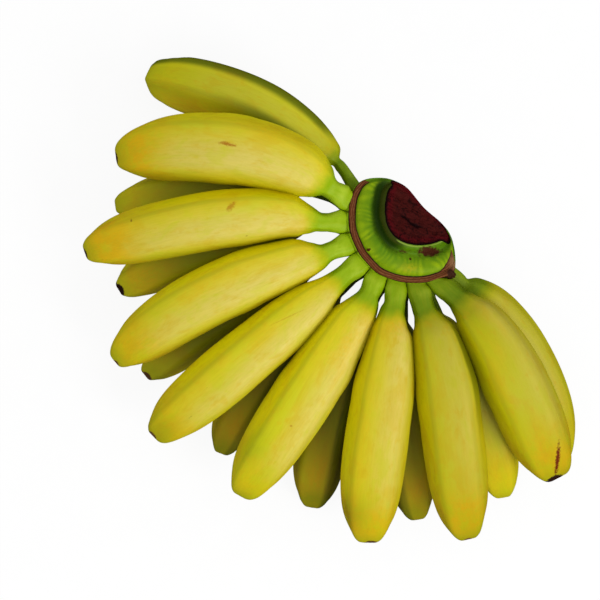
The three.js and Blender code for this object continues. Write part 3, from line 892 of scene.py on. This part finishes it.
def held_in_box(rows):
    """The visible skin never stands outside the CAD model's box."""
    low, high = (np.array(corner) for corner in cad_box)
    return np.clip(rows, low, high)


# ---------------------------------------------------------------- crown

CROWN_AROUND = 336  # steps round it
CROWN_SPACING = 0.32  # mm between rows
CUT_RING, EDGE_RING, FOOT_RING = 2, 9, 10  # of its CAD rings, counted from the middle of the cut
ROWS_MIXED = 4  # rows to either side that soften each row
ROWS_SPREAD = 1.6  # and the spread of their weights

# Sides of the crown: middle azimuth, half width and fade beyond it, in degrees.
STALK_SIDE = (228, 97, 9)
SUNK_BAND_SIDE = (195, 25, 25)
WIDE_BAND_SIDE = (333, 11, 15)
# where the painted shade beside the cut is darkest, on the side away from the key light
HOLLOW_SIDE = (178, 48, 42)
RIM_SIDE = (290, 48, 10)
LOW_CUT_SIDE = (36, 64, 16)  # away from the fingers
LOW_CUT = 3.6  # mm that the cut reaches down the crown there

# Spots on the crown: place in plan, half sizes in mm, strength.
ROUGH_SPOTS = [
    ((43.7, 21.6), (6.0, 2.6), 1.0), ((31.7, 21.4), (3.4, 1.6), 0.55),
    ((35.2, 18.2), (0.6, 0.6), 1.0), ((16.4, 22.4), (0.9, 0.9), 1.0),
]
# grooves across the cut face, dented and darkened with painted shade
GROOVES = [((33.2, 37.2), -42, (4.0, 0.9)), ((38.5, 33.6), -15, (4.5, 0.9))]  # heading in degrees
KNOB = ((54.2, 10.8), (2.9, 2.5))
YELLOW_SPOT = ((34.6, 14.0), (4.0, 2.0))
PALE_SPOT = ((55.3, 16.7), (2.2, 3.4))


def around_finely(ring_rows, count):
    """Each closed ring of points, smoothly resampled to count points."""
    steps = ring_rows.shape[1]
    at = np.arange(count) * steps / count
    i = np.floor(at).astype(int)
    t = (at - i)[None, :, None]
    p = [ring_rows[:, (i + k) % steps] for k in (-1, 0, 1, 2)]
    return 0.5 * (
        2 * p[1]
        + (p[2] - p[0]) * t
        + (2 * p[0] - 5 * p[1] + 4 * p[2] - p[3]) * t**2
        + (3 * p[1] - p[0] - 3 * p[2] + p[3]) * t**3
    )


def crown_rows(low, high):
    """The crown's skin as rings, how far down its profile each lies in mm, and its CAD rings with
    how far down they lie."""
    above = np.array(((low[0] + high[0]) / 2, (low[1] + high[1]) / 2, high[2] + 1.0))
    rings, top, bottom = rings_of("crown", above)
    rings = around_finely(rings, CROWN_AROUND)
    # rings from the middle of the cut: dish, cut, cushion (6), edge, foot, underside (3), end
    ends = [np.broadcast_to(p, rings.shape[1:])[None] for p in (top, bottom)]
    net = np.concatenate((ends[0], rings, ends[1]))
    knots = np.linalg.norm(np.diff(net, axis=0), axis=-1).mean(axis=1)
    knots = np.concatenate(([0.0], np.cumsum(knots))) / MM
    count = int(knots[-1] / CROWN_SPACING)
    at = np.linspace(0.4, knots[-1] - 0.6, count)
    flat = net.reshape(len(net), -1)
    parts = []
    corners = [0, CUT_RING, EDGE_RING, FOOT_RING, len(net) - 1]
    for a, b in zip(corners[:-1], corners[1:]):
        here = at[(at >= knots[a]) & (at < knots[b])]
        parts.append(smooth_through(knots[a : b + 1], flat[a : b + 1], here))
    rows = np.concatenate(parts).reshape(count, -1, 3)
    kernel = np.exp(-0.5 * (np.arange(-ROWS_MIXED, ROWS_MIXED + 1) / ROWS_SPREAD) ** 2)
    kernel /= kernel.sum()
    padded = np.concatenate((rows[:1].repeat(ROWS_MIXED, 0), rows, rows[-1:].repeat(ROWS_MIXED, 0)))
    rows = sum(w * padded[k : k + count] for k, w in enumerate(kernel))
    return rows, at, net, knots


def build_crown(material, roots):
    """roots: where the upper row's stalks start, in order along the row."""
    low, high = (np.array(corner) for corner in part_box("crown"))
    rows, at, net, knots = crown_rows(low, high)
    cut, edge, foot = knots[CUT_RING], knots[EDGE_RING], knots[FOOT_RING]

    middle = np.array(((low[0] + high[0]) / 2, (low[1] + high[1]) / 2))
    ring_edge = net[EDGE_RING]
    azimuth = np.degrees(np.arctan2(ring_edge[:, 1] - middle[1], ring_edge[:, 0] - middle[0])) % 360
    azimuth = np.broadcast_to(azimuth, rows.shape[:2])
    profile = np.broadcast_to(at[:, None], rows.shape[:2])
    normals = normals_of(rows)
    place = rows / MM

    to_edge = np.linalg.norm(rows - ring_edge[None], axis=-1) / MM
    to_edge = np.where(profile > edge, -to_edge, to_edge)
    to_cut = np.linalg.norm(rows - net[CUT_RING][None], axis=-1) / MM

    ways = np.degrees([math.atan2(y - middle[1], x - middle[0]) for x, y, _ in roots]) % 360
    gaps = (ways[1:] + ways[:-1]) / 2

    def within(middle_azimuth, half, fade):
        """1 within half of an azimuth, falling to 0 over the fade beyond it."""
        off = np.abs((azimuth - middle_azimuth + 180) % 360 - 180)
        return smoothstep(off, half + fade, half)

    def spot(centre, wide):
        off = (place[..., :2] - centre) / wide
        return np.exp(-(off**2).sum(-1)) * (profile < foot)

    def streak(centre, heading, wide):
        way = np.array((math.cos(math.radians(heading)), math.sin(math.radians(heading))))
        off = place[..., :2] - centre
        along, across = off @ way / wide[0], off @ (-way[1], way[0]) / wide[1]
        return np.exp(-(along**2) - across**2) * (profile < cut)

    # on the side away from the fingers the cut reaches a little way down the crown
    signed = np.where(profile < cut, -to_cut, to_cut) - LOW_CUT * within(*LOW_CUT_SIDE)
    on_top = (profile < edge + 1.5) & (profile > cut)
    to_edge = to_edge - 0.5 - 0.8 * within(*SUNK_BAND_SIDE)
    band_width = 3.0 + 3.0 * within(*WIDE_BAND_SIDE)
    band = smoothstep(to_edge, band_width + 0.3, band_width - 0.3) * smoothstep(to_edge, -0.6, -0.2)
    band = band * on_top * within(*STALK_SIDE)
    rind = smoothstep(np.minimum(to_edge + 0.4, band_width - to_edge), 0.9, 0.1)
    off = np.abs((azimuth[..., None] - gaps + 180) % 360 - 180).min(-1)
    strip = smoothstep(to_edge, 0.0, -0.6) * (profile < foot) * within(*STALK_SIDE)
    # painted shade along the lines where neighbouring stalks meet
    crease_shade = smoothstep(off, 2.2, 0.3) * strip * 0.8
    strand = np.sin(to_edge * 2 * math.pi / 1.0 + 1.4 * Waves(5, 9).at(place))
    cushion = smoothstep(to_cut, 3.0, 7.0) * smoothstep(to_edge, 2.6, 4.2) * on_top
    rib = 0.5 + 0.5 * np.sin(np.radians(azimuth) * 46 + 2.2 * Waves(6, 14).at(place))
    rib = rib * (0.32 + 0.25 * Waves(8, 7).at(place).clip(-1, 1)) * smoothstep(to_edge, 15, 5)
    rib = (rib + 0.45 * smoothstep(to_edge, 11, 3)) * cushion
    # painted shade in the dip beside the cut, darkest on the side away from the key light, and a
    # duller collar at the cut's edge there
    left = within(*HOLLOW_SIDE)
    hollow_shade = smoothstep(to_cut, 8.5, 3.8) * on_top * (0.2 + 0.8 * left)
    dull_shade = smoothstep(to_cut, 3.2, 1.8) * on_top * left
    rim = smoothstep(to_cut, 0.95, 0.6) * smoothstep(to_cut, 0.2, 0.4) * on_top * within(*RIM_SIDE)
    patches = sum(strength * spot(centre, wide) for centre, wide, strength in ROUGH_SPOTS)
    # grooves across the cut face, dented in the relief and darkened with painted shade
    shaded_groove = sum(streak(*line) for line in GROOVES)
    knob = spot(*KNOB)

    relief = 0.22 * (rib - 0.3) * cushion
    relief = relief + band * (0.22 + 0.07 * strand - 0.4 * rind)
    relief = relief + patches.clip(0, 1) * (0.3 + 0.25 * Waves(9, 2.4).at(place))
    relief = relief + knob * (1.9 + 0.4 * Waves(10, 2.0).at(place))
    flesh = smoothstep(signed, 0.3, -0.3)
    relief = relief + flesh * (profile < cut - 1) * (0.2 * Waves(11, 5).at(place)
                                                     + 0.08 * Waves(12, 1.7).at(place))
    relief = relief + 0.12 * Waves(13, 12).at(place) - 0.4 * shaded_groove
    wall = smoothstep(profile, edge, foot) * smoothstep(profile, knots[-1], foot)
    relief = relief + 0.18 * wall * Waves(14, 3.5).at(place * (1, 1, 0.2))
    rows = held_in_box(rows + normals * (relief * MM)[..., None])

    facts = dict(skin=place, across=signed, scar=band, rind=rind, strand=strand, rib=rib,
                 strip=strip, crease_shade=crease_shade, shaded_groove=shaded_groove,
                 hollow_shade=hollow_shade, dull_shade=dull_shade, patch=patches, rim=rim, knob=knob,
                 yellow=spot(*YELLOW_SPOT), pale=spot(*PALE_SPOT))
    piece = skinned("crown_skin", rows, rows[0].mean(0), rows[-1].mean(0), facts, material)
    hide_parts("crown")
    return piece


# ---------------------------------------------------------------- the whole scene


def build_floor():
    mesh = bpy.data.meshes.new("floor")
    half = 4.0
    mesh.from_pydata([(-half, -half, 0), (half, -half, 0), (half, half, 0), (-half, half, 0)], [],
                     [(0, 1, 2, 3)])
    mesh.materials.append(floor_material())
    floor = bpy.data.objects.new("floor", mesh)
    # a table that shows the fruit's shadow, and throws no light back on it
    floor.visible_diffuse = False
    floor.visible_glossy = False
    bpy.context.scene.collection.objects.link(floor)


studio()
build_floor()
crown_middle = np.mean([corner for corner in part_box("crown")], axis=0)
rows_of_fingers = [[Finger(name, crown_middle) for name in names] for names in (UPPER, LOWER)]
pieces = build_fingers(rows_of_fingers, peel_material())
pieces.append(build_crown(crown_material(), [finger.start for finger in rows_of_fingers[0]]))
for piece in pieces:
    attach(piece, "root")
